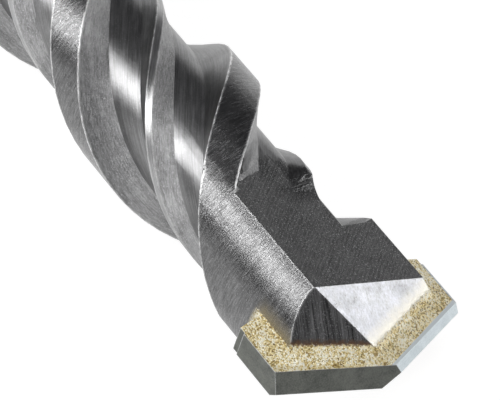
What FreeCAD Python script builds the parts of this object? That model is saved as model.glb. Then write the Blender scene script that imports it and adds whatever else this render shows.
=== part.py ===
import FreeCAD, Part
import Sketcher
import math
import os
import re

# A hammer drill bit that lies along +X. Its strike face is at x = 0, its axis is the X axis and
# the carbide tip points to +X. Lengths are in millimetres and angles in degrees.
# In each section the Y axis runs along the width of the tip and the Z axis through its thickness;
# the placement of the pieces then rolls the whole bit to the way it lies.

doc = FreeCAD.newDocument("drill_bit")
sheet = doc.addObject("Spreadsheet::Sheet", "Sizes")

driving = {
    # overall
    "overall_length": 200.0,
    "rest_roll": -14.4,             # how far the bit has rolled about its axis where it lies
    # shank
    "shank_diameter": 10.0,
    "shank_bevel_length": 1.8,
    "shank_bevel_depth": 0.7,
    "drive_slot_length": 29.0,
    "drive_slot_width": 3.0,
    "drive_slot_floor": 3.3,        # from the axis to the floor of the slot
    "lock_groove_start": 9.5,
    "lock_groove_length": 20.0,
    "lock_ball_diameter": 7.0,
    "lock_groove_depth": 1.4,
    "neck_end": 52.0,
    "neck_sweep_radius": 11.0,
    "neck_land_length": 1.0,        # full diameter ahead of the neck before the flutes' own walls
    # fluted body, with its angles as they are at the roof of the tip
    "land_diameter": 16.4,
    "core_diameter": 10.9,
    "rib_diameter": 13.0,
    "flute_turn_length": 47.4,      # one full turn of the flutes
    "land_start": 89.0,
    "land_angle": 35.0,
    "front_wall_angle": 13.0,
    "front_floor_angle": 36.0,
    "front_rib_wall_angle": 20.0,
    "rib_angle": 8.0,
    "rear_rib_wall_angle": 12.0,
    "rear_floor_angle": 39.0,
    "front_flute_stop": 13.2,       # the flutes end this far behind the roof of the tip
    "rear_flute_stop": 18.6,
    "wall_overrun": 0.35,           # a cutter's wall goes on past the edge by this part of the wall
    "cutter_overlap_angle": 3.0,
    "clearance": 5.0,
    # ground head
    "head_flat_turn": 74.5,
    "head_flat_distance": 4.9,
    "head_flat_length": 16.4,
    "head_flat_sweep_radius": 3.0,
    "head_flat_exit_angle": 60.0,
    "head_margin_length": 1.0,
    "back_facet_turn": 118.5,
    "back_facet_slope": 42.9,
    "gullet_facet_turn": 76.9,
    "gullet_facet_slope": 58.8,
    "facet_setback": 0.5,           # how far the facets start below the edges of the tip
    # carbide tip
    "tip_width": 20.0,
    "tip_thickness": 2.7,
    "tip_side_length": 5.2,
    "tip_corner_radius": 0.6,
    "roof_slope": 20.0,
    "ridge_rise": 0.95,
    "rake_width": 0.7,
    "rake_drop": 0.65,
    # braze
    "braze_gap": 0.1,
    "back_bead_width": 1.0,
    "gullet_bead_width": 0.6,
    "side_bead_rise": 0.75,
    "side_bead_step": 0.15,         # the side beads start this far in from the sides of the tip
}

derived = {
    "land_end": "land_start + land_angle",
    "front_floor_start": "land_end + front_wall_angle",
    "front_floor_end": "front_floor_start + front_floor_angle",
    "rib_start": "front_floor_end + front_rib_wall_angle",
    "rib_end": "rib_start + rib_angle",
    "rear_floor_start": "rib_end + rear_rib_wall_angle",
    "rear_floor_end": "rear_floor_start + rear_floor_angle",
    "roof_fall": "tan(roof_slope * 1deg)",
    "relief_fall": "ridge_rise / (tip_thickness - rake_width)",
    "rake_fall": "rake_drop / rake_width",
    "relief_turn": "atan2(relief_fall; -roof_fall) / 1deg",
    "relief_slope": "atan(hypot(relief_fall; roof_fall)) / 1deg",
    "rake_turn": "atan2(-rake_fall; -roof_fall) / 1deg",
    "rake_slope": "atan(hypot(rake_fall; roof_fall)) / 1deg",
    "back_run": "tan(back_facet_slope * 1deg) * cos(back_facet_turn * 1deg)",
    "back_fall": "tan(back_facet_slope * 1deg) * sin(back_facet_turn * 1deg)",
    "back_bead_fall": "back_fall + facet_setback / back_bead_width",
    "back_bead_turn": "atan2(back_bead_fall; back_run) / 1deg",
    "back_bead_slope": "atan(hypot(back_bead_fall; back_run)) / 1deg",
    "gullet_run": "tan(gullet_facet_slope * 1deg) * cos(gullet_facet_turn * 1deg)",
    "gullet_fall": "tan(gullet_facet_slope * 1deg) * sin(gullet_facet_turn * 1deg)",
    "gullet_bead_fall": "gullet_fall + facet_setback / gullet_bead_width",
    "gullet_bead_turn": "atan2(gullet_bead_fall; gullet_run) / 1deg",
    "gullet_bead_slope": "atan(hypot(gullet_bead_fall; gullet_run)) / 1deg",
    "seat_height": "tip_thickness / 2 + side_bead_rise",
    "seat_reach": "sqrt(land_diameter ^ 2 / 4 - seat_height ^ 2)",
    "roof_station": "overall_length - relief_fall * tip_thickness / 2",
    "tip_shoulder": "roof_station - tip_width / 2 * roof_fall",
    "tip_foot": "tip_shoulder - tip_side_length",
    "bead_top": "seat_height + tip_thickness / 2",
    "bead_root": "seat_reach / 2",
    "neck_rise": "(land_diameter - shank_diameter) / 2",
    "neck_top": "neck_end + sqrt(neck_sweep_radius ^ 2 - (neck_sweep_radius - neck_rise) ^ 2)",
    "fluted_start": "neck_top + neck_land_length",
    "flat_exit_run": "head_flat_sweep_radius * sin(head_flat_exit_angle * 1deg)",
    "flat_exit_rise": "head_flat_sweep_radius * (1 - cos(head_flat_exit_angle * 1deg))",
    "head_start": "roof_station - head_flat_length - flat_exit_run - head_margin_length",
    "front_clear": "overall_length + clearance",
    "side_clear": "tip_width",
    "cutter_reach": "land_diameter / 2 + clearance",
}


def fillSheet():
    lines = list(driving.items()) + [(alias, "=" + formula) for alias, formula in derived.items()]
    for row, (alias, content) in enumerate(lines, start=1):
        sheet.set("A%d" % row, alias)
        sheet.set("B%d" % row, str(content))
        sheet.setAlias("B%d" % row, alias)
    doc.recompute()


def bound(formula):
    """A formula in the words of the sheet, as an expression that any object can hold."""
    names = set(driving) | set(derived)
    return re.sub(r"[a-z_]+", lambda word: "Sizes." + word.group() if word.group() in names else word.group(),
                  str(formula))


def value(formula):
    result = sheet.evalExpression(str(formula))
    return float(getattr(result, "Value", result))


def bind(thing, path, formula):
    thing.setExpression(path, bound(formula))


def polar(radius, angle):
    return ("(%s) * cos((%s) * 1deg)" % (radius, angle), "(%s) * sin((%s) * 1deg)" % (radius, angle))


def originFeature(body, role):
    return [feature for feature in body.Origin.OriginFeatures if feature.Role == role][0]


def drawOutline(body, name, plane, corners, turn=None, shift=None):
    """A closed outline on an origin plane. Each corner is (x, y, bend): the bend of the edge that
    leaves it is None for a line, "axis" for an arc about the origin, or a radius, which is
    negative where the edge bends to the right."""
    sketch = body.newObject("Sketcher::SketchObject", name)
    sketch.AttachmentSupport = [(originFeature(body, plane), "")]
    sketch.MapMode = "FlatFace"
    if shift is not None:
        bind(sketch, ".AttachmentOffset.Base.z", shift)
    if turn is not None:
        spin = FreeCAD.Vector(1, 0, 0) if plane == "XZ_Plane" else FreeCAD.Vector(0, 0, 1)
        sketch.AttachmentOffset = FreeCAD.Placement(FreeCAD.Vector(), FreeCAD.Rotation(spin, value(turn)))
        bind(sketch, ".AttachmentOffset.Rotation.Angle", turn)
    points = [FreeCAD.Vector(value(x), value(y), 0) for x, y, bend in corners]
    heads, tails = [], []
    for index, (x, y, bend) in enumerate(corners):
        here, there = points[index], points[(index + 1) % len(points)]
        if bend is None:
            sketch.addGeometry(Part.LineSegment(here, there), False)
            heads.append(1)
            tails.append(2)
            continue
        if bend == "axis":
            middle, forward = FreeCAD.Vector(), here.cross(there).z > 0
        else:
            radius = value(bend)
            across = there - here
            reach = math.sqrt(max(radius ** 2 - across.Length ** 2 / 4, 0.0))
            side = FreeCAD.Vector(-across.y, across.x, 0).normalize()
            forward = radius > 0
            middle = (here + there) / 2 + side * (reach if forward else -reach)
        start, end = (here, there) if forward else (there, here)
        circle = Part.Circle(middle, FreeCAD.Vector(0, 0, 1), (here - middle).Length)
        angles = [math.atan2(point.y - middle.y, point.x - middle.x) for point in (start, end)]
        sketch.addGeometry(Part.ArcOfCircle(circle, angles[0], angles[1]), False)
        heads.append(1 if forward else 2)
        tails.append(2 if forward else 1)
    count = len(corners)
    for index in range(count):
        after = (index + 1) % count
        sketch.addConstraint(Sketcher.Constraint("Coincident", index, tails[index], after, heads[after]))
    for index, (x, y, bend) in enumerate(corners):
        before = corners[index - 1][2]
        keep = "xy"
        if before == "axis":
            keep = "y" if abs(points[index].x) > abs(points[index].y) else "x"
        for letter, formula in (("x", x), ("y", y)):
            if letter not in keep:
                continue
            if formula == "0":
                axis = -2 if letter == "x" else -1
                sketch.addConstraint(Sketcher.Constraint("PointOnObject", index, heads[index], axis))
                continue
            kind = "DistanceX" if letter == "x" else "DistanceY"
            number = sketch.addConstraint(Sketcher.Constraint(kind, -1, 1, index, heads[index], value(formula)))
            bind(sketch, "Constraints[%d]" % number, formula)
        if bend == "axis":
            sketch.addConstraint(Sketcher.Constraint("Coincident", index, 3, -1, 1))
        elif bend is not None:
            number = sketch.addConstraint(Sketcher.Constraint("Radius", index, abs(value(bend))))
            bind(sketch, "Constraints[%d]" % number, "abs(%s)" % bend)
    doc.recompute()
    return sketch


def cutThrough(body, name, sketch):
    pocket = body.newObject("PartDesign::Pocket", name)
    pocket.Profile = sketch
    pocket.Type = "ThroughAll"
    pocket.Midplane = True
    doc.recompute()
    return pocket


def turnedTwice(body, name, feature):
    pattern = body.newObject("PartDesign::PolarPattern", name)
    pattern.Originals = [feature]
    pattern.Axis = (originFeature(body, "X_Axis"), [""])
    pattern.Angle = 360
    pattern.Occurrences = 2
    body.Tip = pattern
    doc.recompute()
    return pattern


def newBody(label):
    body = doc.addObject("PartDesign::Body", label)
    body.Label = label
    body.Placement = FreeCAD.Placement(FreeCAD.Vector(), FreeCAD.Rotation(FreeCAD.Vector(1, 0, 0),
                                                                          value("rest_roll")))
    bind(body, ".Placement.Rotation.Angle", "rest_roll")
    return body


def cutFacet(body, name, turn, slope, station, reach):
    """Grinds away all that lies above a slanted plane, on both sides of the bit. The plane falls
    towards the given turn about the axis, and passes the given station at the given reach."""
    low = "-side_clear"
    high = "side_clear"
    level = "%s - tan((%s) * 1deg) * ((%s) - (%s))"
    corners = [
        (level % (station, slope, low, reach), low, None),
        (level % (station, slope, high, reach), high, None),
        ("front_clear + side_clear * 2", high, None),
        ("front_clear + side_clear * 2", low, None),
    ]
    sketch = drawOutline(body, name + "_outline", "XZ_Plane", corners, turn="(%s) - 90" % turn)
    facet = cutThrough(body, name, sketch)
    return turnedTwice(body, name + "_pair", facet)


fillSheet()

# the corners of the section, and the two cutters that leave the same form where the flutes run
# out at the neck and at the head
halfLand = "land_diameter / 2"
halfCore = "core_diameter / 2"
halfRib = "rib_diameter / 2"


def pastEdge(edge, foot):
    """The point where the straight wall from a foot to an edge ends if it goes on past the edge."""
    return tuple("(1 + wall_overrun) * (%s) - wall_overrun * (%s)" % pair for pair in zip(edge, foot))


# the walls of the fluted length, which go on past the lands outside and past the core inside
wallCorners = []
for half in ("0", "180"):
    leadingEdge = polar(halfLand, "land_start + 180 + " + half)
    trailingEdge = polar(halfLand, "land_end + " + half)
    ribFront = polar(halfRib, "rib_start + " + half)
    ribRear = polar(halfRib, "rib_end + " + half)
    frontFoot = polar(halfCore, "front_floor_start + " + half)
    frontRibFoot = polar(halfCore, "front_floor_end + " + half)
    rearRibFoot = polar(halfCore, "rear_floor_start + " + half)
    rearFoot = polar(halfCore, "rear_floor_end + " + half)
    wallCorners += [
        pastEdge(trailingEdge, frontFoot) + (None,),
        pastEdge(frontFoot, trailingEdge) + (None,),
        pastEdge(frontRibFoot, ribFront) + (None,),
        ribFront + (None,),
        ribRear + (None,),
        pastEdge(rearRibFoot, ribRear) + (None,),
        pastEdge(rearFoot, leadingEdge) + (None,),
        pastEdge(leadingEdge, rearFoot) + (None,),
    ]

cutterCorners = {
    "front_flute": [
        pastEdge(polar(halfLand, "land_end"), polar(halfCore, "front_floor_start")) + (None,),
        polar(halfCore, "front_floor_start") + ("axis",),
        polar(halfCore, "front_floor_end") + (None,),
        polar(halfRib, "rib_start") + ("axis",),
        polar(halfRib, "rib_end + cutter_overlap_angle") + (None,),
        polar("cutter_reach", "rib_end + cutter_overlap_angle") + (None,),
        polar("cutter_reach", "front_floor_start") + (None,),
    ],
    "rear_flute": [
        pastEdge(polar(halfRib, "rib_end"), polar(halfCore, "rear_floor_start")) + (None,),
        polar(halfCore, "rear_floor_start") + ("axis",),
        polar(halfCore, "rear_floor_end") + (None,),
        pastEdge(polar(halfLand, "land_start + 180"), polar(halfCore, "rear_floor_end")) + (None,),
        polar("cutter_reach", "rear_floor_end") + (None,),
        polar("cutter_reach", "rib_end") + (None,),
    ],
}


def twistAlong(body, name, kind, corners, start, end):
    """Carries a section along the axis from start to end while it turns with the lead."""
    profile = drawOutline(body, name + "_outline", "YZ_Plane", corners,
                          turn="360 / flute_turn_length * (%s - roof_station)" % start, shift=start)
    path = body.newObject("Sketcher::SketchObject", name + "_path")
    path.AttachmentSupport = [(originFeature(body, "XZ_Plane"), "")]
    path.MapMode = "FlatFace"
    path.addGeometry(Part.LineSegment(FreeCAD.Vector(value(start), 0, 0), FreeCAD.Vector(value(end), 0, 0)), False)
    for point, station in ((1, start), (2, end)):
        path.addConstraint(Sketcher.Constraint("PointOnObject", 0, point, -1))
        number = path.addConstraint(Sketcher.Constraint("DistanceX", -1, 1, 0, point, value(station)))
        bind(path, "Constraints[%d]" % number, station)
    guide = doc.addObject("Part::Helix", name + "_guide")
    guide.Placement = FreeCAD.Placement(FreeCAD.Vector(value(start), 0, 0),
                                        FreeCAD.Rotation(FreeCAD.Vector(0, 1, 0), 90))
    for field, formula in (("Radius", "land_diameter"), ("Pitch", "flute_turn_length"),
                           ("Height", "(%s) - (%s)" % (end, start)), (".Placement.Base.x", start)):
        bind(guide, field, formula)
    doc.recompute()
    pipe = body.newObject("PartDesign::%sPipe" % kind, name)
    pipe.Profile = profile
    pipe.Spine = path
    pipe.Mode = "Auxiliary"
    pipe.AuxiliarySpine = (guide, ["Edge1"])
    pipe.AuxiliaryCurvilinear = True
    body.Tip = pipe
    doc.recompute()
    return pipe


def turnBlank(body, name, corners):
    outline = drawOutline(body, name + "_outline", "XZ_Plane", corners)
    blank = body.newObject("PartDesign::Revolution", name)
    blank.Profile = outline
    blank.ReferenceAxis = (outline, ["H_Axis"])
    blank.Angle = 360
    doc.recompute()
    return blank


# shank and neck
shank = newBody("shank_end")
turnBlank(shank, "shank_blank", [
    ("0", "0", None),
    ("0", "shank_diameter / 2 - shank_bevel_depth", None),
    ("shank_bevel_length", "shank_diameter / 2", None),
    ("neck_end", "shank_diameter / 2", "neck_sweep_radius"),
    ("neck_top", halfLand, None),
    ("fluted_start", halfLand, None),
    ("fluted_start", "0", None),
])

# two drive slots that are open at the end, and two closed grooves for the locking balls
driveOutline = drawOutline(shank, "drive_slot_outline", "YZ_Plane", [
    ("drive_slot_floor", "-drive_slot_width / 2", None),
    ("shank_diameter", "-drive_slot_width / 2", None),
    ("shank_diameter", "drive_slot_width / 2", None),
    ("drive_slot_floor", "drive_slot_width / 2", None),
])
driveSlot = shank.newObject("PartDesign::Pocket", "drive_slot")
driveSlot.Profile = driveOutline
driveSlot.Reversed = True
bind(driveSlot, "Length", "drive_slot_length")
doc.recompute()
turnedTwice(shank, "drive_slot_pair", driveSlot)
ballFloor = "shank_diameter / 2 - lock_groove_depth"
ballCentre = ballFloor + " + lock_ball_diameter / 2"
grooveEnd = "lock_groove_start + lock_groove_length"
lockOutline = drawOutline(shank, "lock_groove_outline", "XZ_Plane", [
    ("lock_groove_start", ballCentre, "lock_ball_diameter / 2"),
    ("lock_groove_start + lock_ball_diameter / 2", ballFloor, None),
    (grooveEnd + " - lock_ball_diameter / 2", ballFloor, "lock_ball_diameter / 2"),
    (grooveEnd, ballCentre, None),
])
lockGroove = shank.newObject("PartDesign::Groove", "lock_groove")
lockGroove.Profile = lockOutline
lockGroove.ReferenceAxis = (lockOutline, ["Edge4"])
lockGroove.Angle = 360
doc.recompute()
turnedTwice(shank, "lock_groove_pair", lockGroove)
for name, corners in cutterCorners.items():
    runOut = twistAlong(shank, name + "_run_out", "Subtractive", corners, "neck_end - clearance",
                        "fluted_start + clearance")
    turnedTwice(shank, name + "_run_out_pair", runOut)

# the fluted length between the neck and the head: the twisted walls, turned down to the lands,
# on a round core
walls = newBody("flute_walls")
twistAlong(walls, "twisted_walls", "Additive", wallCorners, "fluted_start", "head_start")


def addBar(name, radius, start, end):
    bar = doc.addObject("Part::Cylinder", name)
    bar.Placement = FreeCAD.Placement(FreeCAD.Vector(value(start), 0, 0),
                                      FreeCAD.Rotation(FreeCAD.Vector(0, 1, 0), 90))
    for field, formula in (("Radius", radius), ("Height", "(%s) - (%s)" % (end, start)),
                           (".Placement.Base.x", start)):
        bind(bar, field, formula)
    return bar


landWalls = doc.addObject("Part::Common", "land_walls")
landWalls.Base = walls
landWalls.Tool = addBar("land_bar", halfLand, "fluted_start - clearance", "head_start + clearance")
core = addBar("core_bar", halfCore, "fluted_start", "head_start")
doc.recompute()

# ground head, which the front flutes run further into than the rear ones
head = newBody("ground_head")
turnBlank(head, "head_blank", [
    ("head_start", "0", None),
    ("head_start", halfLand, None),
    ("overall_length", halfLand, None),
    ("overall_length", "0", None),
])
for name, corners in cutterCorners.items():
    stop = "roof_station - %s_stop" % name
    turnedTwice(head, name + "_pair", twistAlong(head, name, "Subtractive", corners, "head_start - clearance", stop))

# the two flats of the head, run out behind by the sweep of the wheel that ground them
flatEnd = "roof_station - head_flat_length"
headFlat = drawOutline(head, "head_flat_outline", "XZ_Plane", [
    ("front_clear", "head_flat_distance", None),
    ("front_clear", "side_clear", None),
    (flatEnd + " - flat_exit_run", "side_clear", None),
    (flatEnd + " - flat_exit_run", "head_flat_distance + flat_exit_rise", "head_flat_sweep_radius"),
    (flatEnd, "head_flat_distance", None),
], turn="head_flat_turn - 90")
turnedTwice(head, "head_flat_pair", cutThrough(head, "head_flat", headFlat))

# the roof facets of the head: the back of each cutting edge, and the gullet ahead of it
for facet in ("back", "gullet"):
    cutFacet(head, facet + "_facet", facet + "_facet_turn", facet + "_facet_slope",
             "roof_station - facet_setback", "tip_thickness / 2 * sin(%s_facet_turn * 1deg)" % facet)

# the slot that the carbide tip is brazed into
slotHalf = "(tip_thickness / 2 + braze_gap)"
slotOutline = drawOutline(head, "tip_slot_outline", "XZ_Plane", [
    ("tip_foot - braze_gap", "-" + slotHalf, None),
    ("front_clear", "-" + slotHalf, None),
    ("front_clear", slotHalf, None),
    ("tip_foot - braze_gap", slotHalf, None),
])
cutThrough(head, "tip_slot", slotOutline)

steel = doc.addObject("Part::MultiFuse", "steel_body")
steel.Shapes = [shank, landWalls, core, head]
steel.Refine = True
steel.Label = "steel_body"
doc.recompute()

# carbide tip: a plate with a roof, whose two ridges are the cutting edges
carbide = newBody("carbide_tip")
halfWidth = "tip_width / 2"
corner = "tip_corner_radius"
plateOutline = drawOutline(carbide, "plate_outline", "XY_Plane", [
    ("tip_foot", "-(%s) + %s" % (halfWidth, corner), "-" + corner),
    ("tip_foot + " + corner, "-(%s)" % halfWidth, None),
    ("tip_shoulder + ridge_rise", "-(%s)" % halfWidth, None),
    ("roof_station + ridge_rise", "0", None),
    ("tip_shoulder + ridge_rise", halfWidth, None),
    ("tip_foot + " + corner, halfWidth, "-" + corner),
    ("tip_foot", "%s - %s" % (halfWidth, corner), None),
])
plate = carbide.newObject("PartDesign::Pad", "plate")
plate.Profile = plateOutline
plate.Midplane = True
bind(plate, "Length", "tip_thickness")
doc.recompute()
cutFacet(carbide, "relief", "relief_turn", "relief_slope", "roof_station",
         "tip_thickness / 2 * sin(relief_turn * 1deg)")
cutFacet(carbide, "rake", "rake_turn", "rake_slope", "roof_station + ridge_rise",
         "(rake_width - tip_thickness / 2) * sin(rake_turn * 1deg)")

# braze: the film of filler round the tip in its slot, and the beads along the edges of the steel
filler = newBody("braze_blank")
sideEdge = "(tip_width / 2 - side_bead_step)"
beadOutline = []
for side, back in (("", "-"), ("-", "")):
    beadOutline += [
        (side + sideEdge, back + "tip_thickness / 2", None),
        (side + sideEdge, side + "tip_thickness / 2", None),
        (side + "seat_reach", side + "seat_height", None),
        (side + "bead_root", side + "bead_top", None),
        (back + "bead_root", side + "bead_top", None),
        (back + "seat_reach", side + "seat_height", None),
    ]
beadSection = drawOutline(filler, "bead_outline", "YZ_Plane", beadOutline, shift="tip_foot - braze_gap")
bead = filler.newObject("PartDesign::Pad", "bead_blank")
bead.Profile = beadSection
bind(bead, "Length", "front_clear - tip_foot")
doc.recompute()
for facet in ("back", "gullet"):
    cutFacet(filler, facet + "_bead", facet + "_bead_turn", facet + "_bead_slope", "roof_station",
             "tip_thickness / 2 * sin(%s_bead_turn * 1deg)" % facet)
roomOutline = drawOutline(filler, "tip_room_outline", "XY_Plane", [
    ("tip_foot + " + corner, "-side_clear", None),
    ("front_clear", "-side_clear", None),
    ("front_clear", "side_clear", None),
    ("tip_foot + " + corner, "side_clear", None),
])
tipRoom = filler.newObject("PartDesign::Pocket", "tip_room")
tipRoom.Profile = roomOutline
tipRoom.Midplane = True
bind(tipRoom, "Length", "tip_thickness")
doc.recompute()
slotFiller = doc.addObject("Part::Cut", "slot_filler")
slotFiller.Base = filler
slotFiller.Tool = head
braze = doc.addObject("Part::Cut", "braze")
braze.Base = slotFiller
braze.Tool = carbide
braze.Label = "braze"
doc.recompute()

for thing in doc.Objects:
    if "Invalid" in thing.State or "Error" in thing.State:
        raise RuntimeError("%s failed" % thing.Label)
os.makedirs("parts", exist_ok=True)
for piece in (steel, carbide, braze):
    if piece.Shape.isNull() or not piece.Shape.isValid():
        raise RuntimeError("%s has no valid shape" % piece.Label)
    piece.Shape.exportStep("parts/%s.step" % piece.Label)
    print(piece.Label, "volume", round(piece.Shape.Volume, 1), "solids", len(piece.Shape.Solids),
          "faces", len(piece.Shape.Faces))
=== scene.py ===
import bpy, bmesh, math
from mathutils import Matrix, Vector


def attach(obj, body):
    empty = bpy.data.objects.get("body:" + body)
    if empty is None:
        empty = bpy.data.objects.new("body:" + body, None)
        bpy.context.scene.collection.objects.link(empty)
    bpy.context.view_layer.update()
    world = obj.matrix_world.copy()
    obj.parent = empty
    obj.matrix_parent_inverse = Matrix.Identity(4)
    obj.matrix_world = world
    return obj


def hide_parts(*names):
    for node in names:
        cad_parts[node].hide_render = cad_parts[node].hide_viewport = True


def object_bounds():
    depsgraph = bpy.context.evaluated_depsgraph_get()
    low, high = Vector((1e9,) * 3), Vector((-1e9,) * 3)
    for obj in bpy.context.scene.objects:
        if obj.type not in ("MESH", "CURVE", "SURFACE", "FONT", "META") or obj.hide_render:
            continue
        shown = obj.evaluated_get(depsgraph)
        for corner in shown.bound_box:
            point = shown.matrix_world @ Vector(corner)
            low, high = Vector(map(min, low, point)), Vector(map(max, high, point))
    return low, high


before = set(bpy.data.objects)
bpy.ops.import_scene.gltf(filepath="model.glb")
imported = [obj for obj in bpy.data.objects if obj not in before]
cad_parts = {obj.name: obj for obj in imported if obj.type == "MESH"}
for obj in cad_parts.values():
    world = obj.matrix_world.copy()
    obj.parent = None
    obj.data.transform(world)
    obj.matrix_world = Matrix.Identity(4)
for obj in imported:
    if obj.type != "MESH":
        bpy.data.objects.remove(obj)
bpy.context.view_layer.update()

# A hammer drill bit with a brazed carbide tip, which lies on a white table. Lengths are in metres.
mm = 0.001


print("frame loaded")


def newMaterial(name):
    material = bpy.data.materials.new(name)
    material.use_nodes = True
    material.node_tree.nodes.clear()
    return material, material.node_tree


# one node: wires gives its inputs, as numbers or as another node's output, and settings its options
def put(tree, kind, wires=None, **settings):
    node = tree.nodes.new(kind)
    for name, setting in settings.items():
        setattr(node, name, setting)
    for socket, source in (wires or {}).items():
        if isinstance(source, bpy.types.NodeSocket):
            tree.links.new(source, node.inputs[socket])
        else:
            node.inputs[socket].default_value = source
    return node


def sums(tree, operation, first, second=0.0, third=0.0):
    return put(tree, "ShaderNodeMath", {0: first, 1: second, 2: third}, operation=operation).outputs[0]


def span(tree, source, low, high, first=0.0, last=1.0):
    return put(tree, "ShaderNodeMapRange", {"Value": source, "From Min": low, "From Max": high,
                                            "To Min": first, "To Max": last}).outputs[0]


def ramp(tree, source, stops):
    node = put(tree, "ShaderNodeValToRGB", {"Fac": source})
    while len(node.color_ramp.elements) < len(stops):
        node.color_ramp.elements.new(0.5)
    for element, (place, shade) in zip(node.color_ramp.elements, stops):
        element.position = place
        element.color = (*shade, 1)
    return node.outputs["Color"]


def blend(tree, amount, first, second, how="MIX"):
    colours = [tuple(colour) + (1,) if isinstance(colour, tuple) else colour for colour in (first, second)]
    return put(tree, "ShaderNodeMix", {0: amount, 6: colours[0], 7: colours[1]},
               data_type="RGBA", blend_type=how).outputs[2]


# a number between first and second
def between(tree, amount, first, second):
    return put(tree, "ShaderNodeMix", {0: amount, 2: first, 3: second}).outputs[0]


# noise of grains about size millimetres long, drawn out by stretch
def grain(tree, place, size, stretch=(1, 1, 1), detail=3, roughness=0.5):
    scaled = put(tree, "ShaderNodeMapping", {"Vector": place, "Scale": [1 / (size * mm * part) for part in stretch]})
    return put(tree, "ShaderNodeTexNoise", {"Vector": scaled.outputs[0], "Scale": 1.0, "Detail": detail,
                                            "Roughness": roughness}).outputs["Fac"]


noiseSpan = (0.3, 0.7)    # what such noise mostly lies between

# what the finishes and the labels need to know of the bit's shape
bit = {
    "lead": 47.4 * mm,             # one turn of the flutes
    "roof": 199.36 * mm,           # where the ridge of the tip is
    "roll": math.radians(-14.4),   # how the bit lies
    "landRadius": 8.2 * mm,
    "landSkin": 0.03 * mm,         # what is no deeper than this lies on the land
    "neckEnd": 52 * mm,
    "frontEnd": 13.2 * mm,         # from the roof back to where the flutes ahead of the ribs end
    "rearEnd": 18.6 * mm,          # and those behind them
    "flatHeight": 4.9 * mm,        # the head's flat, above the axis
    "flatExit": 19.5 * mm,         # where it runs out of the steel: what is near its height and slopes little
    "flatNear": 1.0 * mm,
    "flatSlope": 0.7,
    "groundFloor": 22 * mm,        # the head's flat, and the floor of the flute ground with it, reach to here
    "facets": 9 * mm,              # the facets beside the ridge are this near the roof
    "plateHalf": 1.35 * mm,        # half the thickness of the carbide plate
    "plateFoot": 190.5 * mm,
}


def objectPlace(tree):
    return put(tree, "ShaderNodeTexCoord").outputs["Object"]


# the place on the bit with its twist taken out, so that a flute runs straight along X
def untwistedPlace(tree):
    here = objectPlace(tree)
    x = put(tree, "ShaderNodeSeparateXYZ", {0: here}).outputs[0]
    turn = sums(tree, "MULTIPLY", x, -2 * math.pi / bit["lead"])
    return put(tree, "ShaderNodeVectorRotate", {"Vector": here, "Angle": turn}, rotation_type="X_AXIS").outputs[0]


# the place with the bit's roll taken out: Y runs along the carbide plate and Z through it
def squarePlace(tree):
    return put(tree, "ShaderNodeVectorRotate", {"Vector": objectPlace(tree), "Angle": -bit["roll"]},
               rotation_type="X_AXIS").outputs[0]


def turnedPlace(degrees):
    def place(tree):
        return put(tree, "ShaderNodeVectorRotate", {"Vector": squarePlace(tree), "Angle": math.radians(degrees)},
                   rotation_type="Z_AXIS").outputs[0]
    return place


# A painted highlight along the outer edges, for the light that catches the burr, in millimetres. room is how open
# the solid's inside is where it begins and is full, and broken is how long its pieces are.
edgeRoundingAndGlint = {
    "rounding": 0.12, "line": 0.24, "shade": (1.0, 1.0, 1.0), "dull": 0.7, "room": (0.92, 0.66), "samples": 6,
    "broken": 0.9, "gaps": (0.36, 0.56), "faintest": 0.25,
}


# the normal with edges rounded
def roundedEdges(tree, rounding):
    return put(tree, "ShaderNodeBevel", {"Radius": rounding * mm}, samples=edgeRoundingAndGlint["samples"]).outputs[0]


# 1 on outer edges, in a broken line: where the edge highlight is painted
def paintedGlintLine(tree, line):
    inner = put(tree, "ShaderNodeAmbientOcclusion", {"Distance": line * mm}, inside=True, only_local=True,
                samples=edgeRoundingAndGlint["samples"])
    outer = span(tree, inner.outputs["AO"], *edgeRoundingAndGlint["room"])
    patches = grain(tree, objectPlace(tree), edgeRoundingAndGlint["broken"], detail=4, roughness=0.7)
    return sums(tree, "MULTIPLY", outer, span(tree, patches, *edgeRoundingAndGlint["gaps"], edgeRoundingAndGlint["faintest"], 1.0))


# golden braze, a mass of small bright and dark grains, which also runs out over its neighbours; in millimetres
brazeLooks = {
    "grains": 0.13, "fine": 0.065, "clouds": 1.4, "cloudy": 0.6, "pits": -0.8, "depth": 0.10,
    "metal": 0.3, "rough": (0.22, 0.40), "bump": 0.8,
    "shades": ((0.20, (0.20, 0.12, 0.03)), (0.36, (0.60, 0.46, 0.17)), (0.52, (0.92, 0.79, 0.45)),
               (0.68, (1.0, 0.97, 0.82))),
}


# the grains' shade, height and roughness
def brazeGrains(tree):
    here = objectPlace(tree)
    scaled = put(tree, "ShaderNodeMapping", {"Vector": here, "Scale": [1 / (brazeLooks["grains"] * mm)] * 3})
    cells = put(tree, "ShaderNodeTexVoronoi", {"Vector": scaled.outputs[0], "Scale": 1.0}, feature="F1")
    chance = put(tree, "ShaderNodeSeparateColor", {0: cells.outputs["Color"]}).outputs[0]
    fine = grain(tree, here, brazeLooks["fine"], roughness=0.7)
    clouds = sums(tree, "MULTIPLY_ADD", grain(tree, here, brazeLooks["clouds"], detail=2), brazeLooks["cloudy"],
                  -brazeLooks["cloudy"] / 2)
    marks = sums(tree, "MULTIPLY_ADD", chance, 0.5, sums(tree, "MULTIPLY_ADD", fine, 0.5, clouds))
    relief = sums(tree, "MULTIPLY_ADD", cells.outputs["Distance"], brazeLooks["pits"], fine)
    return ramp(tree, marks, brazeLooks["shades"]), relief, span(tree, chance, 0.0, 1.0, *brazeLooks["rough"])


# how far in millimetres the edge of the braze wanders on the steel, how long its rags are, and where the braze starts
brazeEdge = {"wander": 0.9, "rags": 0.5, "fineRags": 0.22, "fade": 0.18, "start": 1.0}


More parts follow.
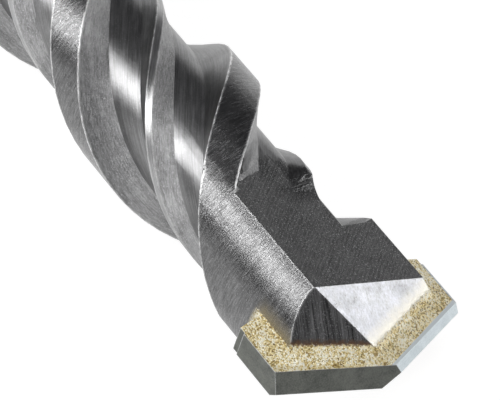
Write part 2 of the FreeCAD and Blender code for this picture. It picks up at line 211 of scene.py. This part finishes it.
# 1 on the steel beside the braze, with a ragged edge that lies reach millimetres from the plate
def nearPlate(tree, reach, fade, rags=brazeEdge["rags"]):
    there = put(tree, "ShaderNodeSeparateXYZ", {0: squarePlace(tree)})
    away = sums(tree, "SUBTRACT", sums(tree, "ABSOLUTE", there.outputs[2]), bit["plateHalf"])
    edge = sums(tree, "MULTIPLY_ADD", grain(tree, objectPlace(tree), rags, detail=4, roughness=0.7),
                brazeEdge["wander"] * mm, away)
    middle = reach + brazeEdge["wander"] / 2
    band = span(tree, edge, middle * mm, (middle + fade) * mm, 1.0, 0.0)
    foot = span(tree, there.outputs[0], bit["plateFoot"] - brazeEdge["start"] * mm, bit["plateFoot"])
    return sums(tree, "MULTIPLY", band, foot)


# Sizes are in millimetres. drawn stretches the grain, and hatch is the pitch of the grinding strokes. braze is the
# reach, fade and colour of its tint, and gold is how far its grains run out. The painted shade near the head is
# where behind the roof the steel begins to darken and is dark, and the share of its shade that is left.
steelLooks = {
    # ground round the bit: hairlines cross the lands
    "land": {
        "place": objectPlace, "drawn": (1, 12, 12), "fine": 0.07, "coarse": 0.2, "shades": (0.085, 0.25),
        "rough": (0.20, 0.30), "bump": 0.5, "cloudy": 0.25, "specks": 0.25,
        "braze": (1.1, 1.2, (0.22, 0.19, 0.13)), "gold": 0.78,
    },
    # rolled flutes: drawn along the twist
    "flute": {
        "place": untwistedPlace, "drawn": (18, 1, 1), "fine": 0.16, "coarse": 0.9, "shades": (0.17, 0.34),
        "rough": (0.28, 0.40), "bump": 0.25, "cloudy": 0.35, "specks": 0.15, "paintedShade": (27, 19, 0.5),
    },
    # the walls ahead of the lands and the ribs are coarser and duller
    "wall": {
        "place": untwistedPlace, "drawn": (3, 1, 1), "fine": 0.14, "coarse": 0.6, "shades": (0.18, 0.44),
        "rough": (0.34, 0.48), "bump": 0.8, "cloudy": 0.4, "specks": 0.45, "metal": 0.6,
    },
    "rib": {
        "place": untwistedPlace, "drawn": (30, 1, 1), "fine": 0.14, "coarse": 0.5, "shades": (0.22, 0.50),
        "rough": (0.24, 0.36), "bump": 0.4, "cloudy": 0.3, "specks": 0.25, "paintedShade": (27, 19, 0.5),
    },
    # the head's flat, ground in slanting strokes
    "flat": {
        "place": turnedPlace(52), "drawn": (12, 1, 12), "fine": 0.10, "coarse": 0.5, "shades": (0.05, 0.15),
        "rough": (0.36, 0.48), "bump": 0.6, "cloudy": 0.35, "specks": 0.55, "hatch": 0.36,
        # the flat has no painted edge highlight
        "braze": (0.5, 0.5, (0.30, 0.24, 0.12)), "gold": 0.05, "paintedGlints": False,
    },
    # the dark relief behind the ridge
    "back": {
        "place": turnedPlace(4), "drawn": (26, 1, 26), "fine": 0.11, "coarse": 0.4, "shades": (0.05, 0.34),
        "rough": (0.32, 0.44), "bump": 0.6, "cloudy": 0.35, "specks": 0.5,
        "braze": (1.22, 0.3, (0.24, 0.15, 0.10)), "gold": 0.98,
    },
    # the bright facet ahead of the ridge
    "gullet": {
        "place": objectPlace, "drawn": (1.6, 1, 1), "fine": 0.22, "coarse": 0.9, "shades": (0.34, 0.68),
        "rough": (0.25, 0.38), "bump": 0.45, "cloudy": 0.5, "specks": 0.1, "tint": (0.95, 0.97, 1.04),
        "braze": (1.1, 0.7, (0.56, 0.54, 0.48)), "gold": 0.85,
    },
    # turned and ground: fine rings round the shank
    "shank": {
        "place": objectPlace, "drawn": (1, 40, 40), "fine": 0.10, "coarse": 0.5, "shades": (0.24, 0.38),
        "rough": (0.20, 0.30), "bump": 0.2, "cloudy": 0.12, "specks": 0.05,
    },
}


# what all the steel shares: the sizes of its clouds and dots, how hairlines, streaks and strokes add up to marks, and
# between which marks it goes from dark to bright
steelMarks = {
    "clouds": 2.2, "dots": 0.13, "hairs": 0.7, "streaks": 0.3, "strokes": 0.13, "shown": (0.36, 0.64),
    "cloudShown": (0.35, 0.65), "cloudShade": (0.35, 0.35, 0.35), "dotShown": (0.58, 0.70),
    "dotShade": (0.62, 0.62, 0.63), "dotRise": 0.5, "white": (1.0, 1.0, 1.01), "depth": 0.05,
}


def steelFinish(name, looks):
    material, tree = newMaterial(name + "Steel")
    place, here = looks["place"](tree), objectPlace(tree)
    hairs = grain(tree, place, looks["fine"], looks["drawn"], detail=5, roughness=0.65)
    streaks = grain(tree, place, looks["coarse"], looks["drawn"], detail=3)
    clouds = grain(tree, here, steelMarks["clouds"], detail=5, roughness=0.6)
    dots = grain(tree, here, steelMarks["dots"], detail=2)
    marks = sums(tree, "MULTIPLY_ADD", hairs, steelMarks["hairs"],
                 sums(tree, "MULTIPLY", streaks, steelMarks["streaks"]))
    if "hatch" in looks:
        wave = put(tree, "ShaderNodeTexWave", {"Vector": place, "Scale": math.pi / 10 / (looks["hatch"] * mm),
                                               "Distortion": 2.0, "Detail": 3.0}, bands_direction="Y").outputs["Fac"]
        marks = sums(tree, "MULTIPLY_ADD", sums(tree, "POWER", wave, 3.0), steelMarks["strokes"], marks)
    low, high = looks["shades"]
    bright = tuple(high * part for part in looks.get("tint", steelMarks["white"]))
    faint, strong = steelMarks["shown"]
    shade = ramp(tree, marks, ((faint, (low, low, low)), (strong, bright)))
    faint, strong = steelMarks["cloudShown"]
    cloudShades = ramp(tree, clouds, ((faint, steelMarks["cloudShade"]), (strong, (1.0, 1.0, 1.0))))
    shade = blend(tree, looks["cloudy"], shade, cloudShades, "MULTIPLY")
    speckled = sums(tree, "MULTIPLY", span(tree, dots, *steelMarks["dotShown"]), looks["specks"])
    shade = blend(tree, speckled, shade, steelMarks["dotShade"])
    metal = looks.get("metal", 1.0)
    # painted shade: the flutes and ribs darken towards the head, and their edge highlight fades out there
    if "paintedShade" in looks:
        start, full, left = looks["paintedShade"]
        x = put(tree, "ShaderNodeSeparateXYZ", {0: here}).outputs[0]
        paintedShadeMask = span(tree, x, bit["roof"] - start * mm, bit["roof"] - full * mm)
        shade = blend(tree, paintedShadeMask, shade, blend(tree, 1.0, shade, (left, left, left), "MULTIPLY"))
    # painted highlight: a white, less metallic broken line along the outer edges
    if looks.get("paintedGlints", True):
        weight = paintedGlintLine(tree, edgeRoundingAndGlint["line"])
        if "paintedShade" in looks:
            weight = sums(tree, "MULTIPLY", weight, sums(tree, "SUBTRACT", 1.0, paintedShadeMask))
        shade = blend(tree, weight, shade, edgeRoundingAndGlint["shade"])
        metal = span(tree, weight, 0.0, 1.0, metal, metal * (1 - edgeRoundingAndGlint["dull"]))
    rough = span(tree, marks, *noiseSpan, *looks["rough"])
    relief = sums(tree, "MULTIPLY_ADD", dots, steelMarks["dotRise"], hairs)
    if "braze" in looks:
        reach, fade, tint = looks["braze"]
        shade = blend(tree, nearPlate(tree, reach, fade), shade, tint)
        gold = nearPlate(tree, looks["gold"], brazeEdge["fade"], brazeEdge["fineRags"])
        goldShade, goldRelief, goldRough = brazeGrains(tree)
        shade = blend(tree, gold, shade, goldShade)
        relief, rough = between(tree, gold, relief, goldRelief), between(tree, gold, rough, goldRough)
        metal = between(tree, gold, metal, brazeLooks["metal"])
    bump = put(tree, "ShaderNodeBump", {"Height": relief, "Strength": looks["bump"],
                                        "Distance": steelMarks["depth"] * mm,
                                        "Normal": roundedEdges(tree, edgeRoundingAndGlint["rounding"])})
    surface = put(tree, "ShaderNodeBsdfPrincipled", {"Base Color": shade, "Metallic": metal, "Roughness": rough,
                                                     "Normal": bump.outputs[0]})
    put(tree, "ShaderNodeOutputMaterial", {"Surface": surface.outputs[0]})
    return material


weldGap = 0.002 * mm


# A node's solid with its loose triangles joined, and reshaped if need be, shaded smooth. Edges stay sharp where two
# faces meet at sharpAngle or more, or where label says that they belong to different surfaces.
def joinedCopy(node, name, label, sharpAngle, reshape=None):
    work = bmesh.new()
    work.from_mesh(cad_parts[node].data)
    bmesh.ops.remove_doubles(work, verts=work.verts, dist=weldGap)
    bmesh.ops.dissolve_degenerate(work, dist=weldGap, edges=work.edges)
    if reshape:
        reshape(work)
    finishes, surfaces = [], {}
    for face in work.faces:
        face.smooth = True
        finish, surfaces[face] = label(face)
        if finish not in finishes:
            finishes.append(finish)
        face.material_index = finishes.index(finish)
    for edge in work.edges:
        if len(edge.link_faces) == 2:
            one, other = edge.link_faces
            edge.smooth = (surfaces[one] == surfaces[other]
                           and edge.calc_face_angle() < math.radians(sharpAngle))
    mesh = bpy.data.meshes.new(name)
    work.to_mesh(mesh)
    work.free()
    piece = bpy.data.objects.new(name, mesh)
    bpy.context.scene.collection.objects.link(piece)
    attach(piece, "root")
    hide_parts(node)
    return piece, finishes


# which way the ground faces of the head look; each has a twin half a turn round the axis, and a face of the mesh is
# part of one when the cosine between them is over sameWay
sameWay = 0.985
groundFaces = {
    "flat": Vector((0, 0.50, 0.866)),
    "back": Vector((0.726, -0.13, 0.675)),
    "gullet": Vector((0.52, 0.39, 0.76)),
    "rake": Vector((0.71, 0.41, 0.57)),
}
halfTurn = Matrix.Rotation(math.pi, 3, "X")

# the surfaces of the fluted bar: the angle on its section at the roof where each ends, from 0 to 180
barSurfaces = (
    (13, "wall", "ribFront"), (21, "rib", "ribTop"), (33, "flute", "ribRear"), (72, "flute", "rearFloor"),
    (89, "wall", "rearWall"), (124, "land", "land"), (137, "flute", "trailingWall"), (173, "flute", "frontFloor"),
    (180, "wall", "ribFront"),
)


def bothWays(name):
    way = groundFaces[name].normalized()
    return way, halfTurn @ way


def looksAlong(face, name):
    return max(face.normal.dot(way) for way in bothWays(name)) > sameWay


def onLand(vert):
    return math.hypot(vert.co.y, vert.co.z) > bit["landRadius"] - bit["landSkin"]


# the finish of a face of the steel, and the surface that it is shaded as part of
def steelLabel(face):
    middle = face.calc_center_median()
    behind = bit["roof"] - middle.x
    if middle.x < bit["neckEnd"]:
        return "shank", "shank"
    if all(onLand(vert) for vert in face.verts):
        return "land", "land"
    if behind < bit["facets"]:
        for name in ("back", "gullet"):
            if looksAlong(face, name):
                return name, name
    if behind < bit["groundFloor"] and looksAlong(face, "flat"):
        return "flat", "rearFloor"
    height, slope = max((middle.dot(side), face.normal.dot(side)) for side in bothWays("flat"))
    if behind < bit["flatExit"] and abs(height - bit["flatHeight"]) < bit["flatNear"] and slope > bit["flatSlope"]:
        return "flat", "rearFloor"
    rolled = Matrix.Rotation(-bit["roll"], 3, "X") @ middle
    angle = (math.degrees(math.atan2(rolled.z, rolled.y)) + 360 * behind / bit["lead"]) % 180
    finish, surface = next((finish, surface) for upTo, finish, surface in barSurfaces if angle <= upTo)
    if behind < bit["frontEnd"] or (behind < bit["rearEnd"] and surface in ("ribRear", "rearFloor", "rearWall")):
        return "flat", "end"
    if behind < bit["groundFloor"] and surface == "rearFloor":
        return "flat", "rearFloor"
    return finish, surface


# The head's flat runs out over the floor of the flute without a lip: the steel is eased onto the flat's plane.
runOut = {
    "start": 26 * mm,              # behind the roof: where the easing starts, is complete and ends
    "full": 18.9 * mm,
    "end": 16.2 * mm,
    "corner": 18.65 * mm,          # the land's edge stays as it is behind this
    "all": 1.1 * mm,               # above the flat: what is moved onto it, and what is moved at all
    "above": 1.9 * mm,
    "below": -1.2 * mm,
    "inner": 0.9 * mm,             # across the flat: the same
    "outer": 2.4 * mm,
    "longest": 0.5 * mm,           # longer edges are cut up first, as far as the margin past the start
    "margin": 1 * mm,
    "cuts": 2,
}


def easeRunOut(work):
    near = [edge for edge in work.edges
            if all(runOut["end"] < bit["roof"] - vert.co.x < runOut["start"] + runOut["margin"] for vert in edge.verts)
            and edge.calc_length() > runOut["longest"]]
    bmesh.ops.subdivide_edges(work, edges=near, cuts=runOut["cuts"], use_grid_fill=False)
    bmesh.ops.triangulate(work, faces=[face for face in work.faces if len(face.verts) > 3])
    for vert in work.verts:
        behind = bit["roof"] - vert.co.x
        slides = onLand(vert)
        if not runOut["end"] < behind < runOut["start"] or (slides and behind > runOut["corner"]):
            continue
        for side in bothWays("flat"):
            sideways = side.cross(Vector((1, 0, 0)))
            rise = vert.co.dot(side) - bit["flatHeight"]
            across = vert.co.dot(sideways)
            if runOut["below"] < rise < runOut["above"] and across < runOut["outer"]:
                along = min(1.0, (runOut["start"] - behind) / (runOut["start"] - runOut["full"]))
                weight = min(1.0, (runOut["above"] - rise) / (runOut["above"] - runOut["all"]),
                           (runOut["outer"] - across) / (runOut["outer"] - runOut["inner"]))
                vert.co -= side * rise * weight * along * along * (3 - 2 * along)
                if slides:    # it stays on the land's cylinder
                    across = math.copysign(math.sqrt(bit["landRadius"] ** 2 - vert.co.dot(side) ** 2), across)
                    vert.co += sideways * (across - vert.co.dot(sideways))
    work.normal_update()


steelBar, finishes = joinedCopy("steel_body", "groundBar", steelLabel, 24, easeRunOut)
for finish in finishes:
    steelBar.data.materials.append(steelFinish(finish, steelLooks[finish]))
print("steel bar", len(steelBar.data.polygons), finishes)

# sintered carbide, and the narrow rakes ahead of its cutting edges, which are ground bright; in millimetres. edge is
# the colour of the painted highlight along the outer edges
carbideLooks = {
    "sintered": {"fine": 0.13, "shades": ((0.065, 0.070, 0.062), (0.185, 0.192, 0.172)), "edge": (0.62, 0.63, 0.63),
                 "rough": (0.42, 0.58), "metal": 0.35, "bump": 0.4},
    "rake": {"fine": 0.12, "shades": ((0.58, 0.65, 0.68), (0.80, 0.87, 0.90)), "edge": (0.90, 0.93, 0.95),
             "rough": (0.34, 0.46), "metal": 0.7, "bump": 0.25},
}

# what both share; line is the width of the painted edge highlight
carbideMarks = {"clouds": 1.2, "hairs": 0.6, "cloudy": 0.4, "shown": (0.35, 0.65), "rounding": 0.08, "line": 0.09,
                "depth": 0.04}

# the rims of the plate's broad faces, which the braze leaves bare: gold on one wing, ground on the other
rims = {"ground": (0.80, 0.86, 0.89), "metal": 0.5, "from": 0.03, "to": 0.01}


def carbideFinish(name, looks):
    material, tree = newMaterial(name + "Carbide")
    here = objectPlace(tree)
    fine = grain(tree, here, looks["fine"], detail=4, roughness=0.65)
    clouds = grain(tree, here, carbideMarks["clouds"])
    marks = sums(tree, "MULTIPLY_ADD", fine, carbideMarks["hairs"],
                 sums(tree, "MULTIPLY", clouds, carbideMarks["cloudy"]))
    shade = ramp(tree, marks, tuple(zip(carbideMarks["shown"], looks["shades"])))
    relief, metal = fine, looks["metal"]
    if name == "sintered":
        there = put(tree, "ShaderNodeSeparateXYZ", {0: squarePlace(tree)})
        broad = span(tree, sums(tree, "ABSOLUTE", there.outputs[2]), bit["plateHalf"] - rims["from"] * mm,
                     bit["plateHalf"] - rims["to"] * mm)
        wing = sums(tree, "GREATER_THAN", sums(tree, "MULTIPLY", there.outputs[1], there.outputs[2]), 0.0)
        goldShade, goldRelief, goldRough = brazeGrains(tree)
        shade = blend(tree, broad, shade, blend(tree, wing, goldShade, rims["ground"]))
        gold = sums(tree, "MULTIPLY", broad, sums(tree, "SUBTRACT", 1.0, wing))
        relief = between(tree, gold, relief, goldRelief)
        metal = between(tree, broad, metal, rims["metal"])
    # painted highlight along the outer edges
    shade = blend(tree, paintedGlintLine(tree, carbideMarks["line"]), shade, looks["edge"])
    bump = put(tree, "ShaderNodeBump", {"Height": relief, "Strength": looks["bump"],
                                        "Distance": carbideMarks["depth"] * mm,
                                        "Normal": roundedEdges(tree, carbideMarks["rounding"])})
    rough = span(tree, fine, *noiseSpan, *looks["rough"])
    surface = put(tree, "ShaderNodeBsdfPrincipled", {"Base Color": shade, "Metallic": metal, "Roughness": rough,
                                                     "Normal": bump.outputs[0]})
    put(tree, "ShaderNodeOutputMaterial", {"Surface": surface.outputs[0]})
    return material


def plateLabel(face):
    return ("rake", "rake") if looksAlong(face, "rake") else ("sintered", "sintered")


plate, finishes = joinedCopy("carbide_tip", "carbidePlate", plateLabel, 25)
for finish in finishes:
    plate.data.materials.append(carbideFinish(finish, carbideLooks[finish]))
print("carbide plate", len(plate.data.polygons), finishes)


def brazeFinish(looks):
    material, tree = newMaterial("granularBraze")
    shade, relief, rough = brazeGrains(tree)
    bump = put(tree, "ShaderNodeBump", {"Height": relief, "Strength": looks["bump"], "Distance": looks["depth"] * mm})
    surface = put(tree, "ShaderNodeBsdfPrincipled", {"Base Color": shade, "Metallic": looks["metal"],
                                                     "Roughness": rough, "Normal": bump.outputs[0]})
    put(tree, "ShaderNodeOutputMaterial", {"Surface": surface.outputs[0]})
    return material


# the ends of the beads, which look along the plate, are ground off flush with it and are as grey as it is
def beadLabel(face):
    rolled = Matrix.Rotation(-bit["roll"], 3, "X") @ face.normal
    return ("ground", "end") if abs(rolled.y) > 0.9 else ("braze", "bead")


beads, finishes = joinedCopy("braze", "brazeBeads", beadLabel, 40)
beadFinishes = {"braze": brazeFinish(brazeLooks), "ground": plate.data.materials["sinteredCarbide"]}
for finish in finishes:
    beads.data.materials.append(beadFinishes[finish])
print("braze", len(beads.data.polygons))

# the table shows white to the camera and in reflections, and keeps the bit's shadow
tableLooks = {"shade": (0.27, 0.27, 0.27), "glow": 0.87, "reach": 3.0, "middle": 0.1, "gap": 0.02 * mm}


def tableFinish(looks):
    material, tree = newMaterial("whiteTable")
    path = put(tree, "ShaderNodeLightPath")
    seen = sums(tree, "MAXIMUM", path.outputs["Is Camera Ray"],
                sums(tree, "MAXIMUM", path.outputs["Is Glossy Ray"], path.outputs["Is Transmission Ray"]))
    matt = put(tree, "ShaderNodeBsdfDiffuse", {"Color": (*looks["shade"], 1)})
    glow = put(tree, "ShaderNodeEmission", {"Color": (1, 1, 1, 1),
                                            "Strength": sums(tree, "MULTIPLY", seen, looks["glow"])})
    both = put(tree, "ShaderNodeAddShader", {0: matt.outputs[0], 1: glow.outputs[0]})
    put(tree, "ShaderNodeOutputMaterial", {"Surface": both.outputs[0]})
    return material


work = bmesh.new()
bmesh.ops.create_grid(work, x_segments=1, y_segments=1, size=tableLooks["reach"],
                      matrix=Matrix.Translation((tableLooks["middle"], 0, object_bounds()[0].z - tableLooks["gap"])))
tableMesh = bpy.data.meshes.new("whiteTable")
work.to_mesh(tableMesh)
work.free()
tableMesh.materials.append(tableFinish(tableLooks))
tableTop = bpy.data.objects.new("whiteTable", tableMesh)
bpy.context.scene.collection.objects.link(tableTop)
print("table")

# a dim studio with a pale wall low down all round: the sines of the heights where the wall begins to fade
# and has faded
studio = {"dim": (0.11, 0.11, 0.115), "pale": (1.0, 1.0, 1.0), "fade": (0.09, 0.13)}
world = bpy.data.worlds.new("studio")
bpy.context.scene.world = world
world.use_nodes = True
world.node_tree.nodes.clear()
sky = world.node_tree
rise = put(sky, "ShaderNodeSeparateXYZ", {0: put(sky, "ShaderNodeTexCoord").outputs["Generated"]}).outputs[2]
backdrop = blend(sky, span(sky, rise, *studio["fade"]), studio["pale"], studio["dim"])
air = put(sky, "ShaderNodeBackground", {"Color": backdrop, "Strength": 1.0})
put(sky, "ShaderNodeOutputWorld", {"Surface": air.outputs[0]})

# soft boxes: azimuth and height of the light in degrees, its width and height in metres, and its brightness; all
# stand at the same distance from the head, which they face
boxesAim, boxesAway = Vector((0.185, 0, 0)), 0.62
softBoxes = {
    "left": {"azimuth": -131, "height": 37, "size": (0.20, 0.34), "brightness": 8.2},
    "front": {"azimuth": -80, "height": 26, "size": (0.14, 0.50), "brightness": 5.5},
    "right": {"azimuth": 71, "height": 20, "size": (0.13, 0.26), "brightness": 4.8},
    "top": {"azimuth": 10, "height": 78, "size": (0.30, 0.30), "brightness": 5.0},
}
for name, box in softBoxes.items():
    light = bpy.data.lights.new(name, "AREA")
    light.shape = "RECTANGLE"
    light.size, light.size_y = box["size"]
    light.energy = box["brightness"] * math.pi * light.size * light.size_y
    azimuth, height = math.radians(box["azimuth"]), math.radians(box["height"])
    toLight = Vector((math.cos(azimuth) * math.cos(height), math.sin(azimuth) * math.cos(height), math.sin(height)))
    lamp = bpy.data.objects.new(name, light)
    lamp.location = boxesAim + toLight * boxesAway
    lamp.rotation_euler = toLight.to_track_quat("Z", "Y").to_euler()
    bpy.context.scene.collection.objects.link(lamp)

# the camera, which looks at the head from above
view = {
    "lens": 216, "sensor": 36, "clip": (0.01, 20), "place": (0.302525, -0.094769, 0.215111),
    "right": (0.569660, 0.821173, 0.034093), "up": (-0.675262, 0.443986, 0.588980),
    "back": (0.468518, -0.358540, 0.807428),
}
lens = bpy.data.cameras.new("camera")
lens.sensor_fit, lens.sensor_width, lens.lens = "HORIZONTAL", view["sensor"], view["lens"]
lens.clip_start, lens.clip_end = view["clip"]
camera = bpy.data.objects.new("camera", lens)
camera.matrix_world = Matrix((view["right"], view["up"], view["back"])).transposed().to_4x4()
camera.location = view["place"]
bpy.context.scene.collection.objects.link(camera)
bpy.context.scene.camera = camera
bpy.context.scene.view_settings.view_transform = "Standard"
print("studio and camera")

bpy.context.view_layer.update()
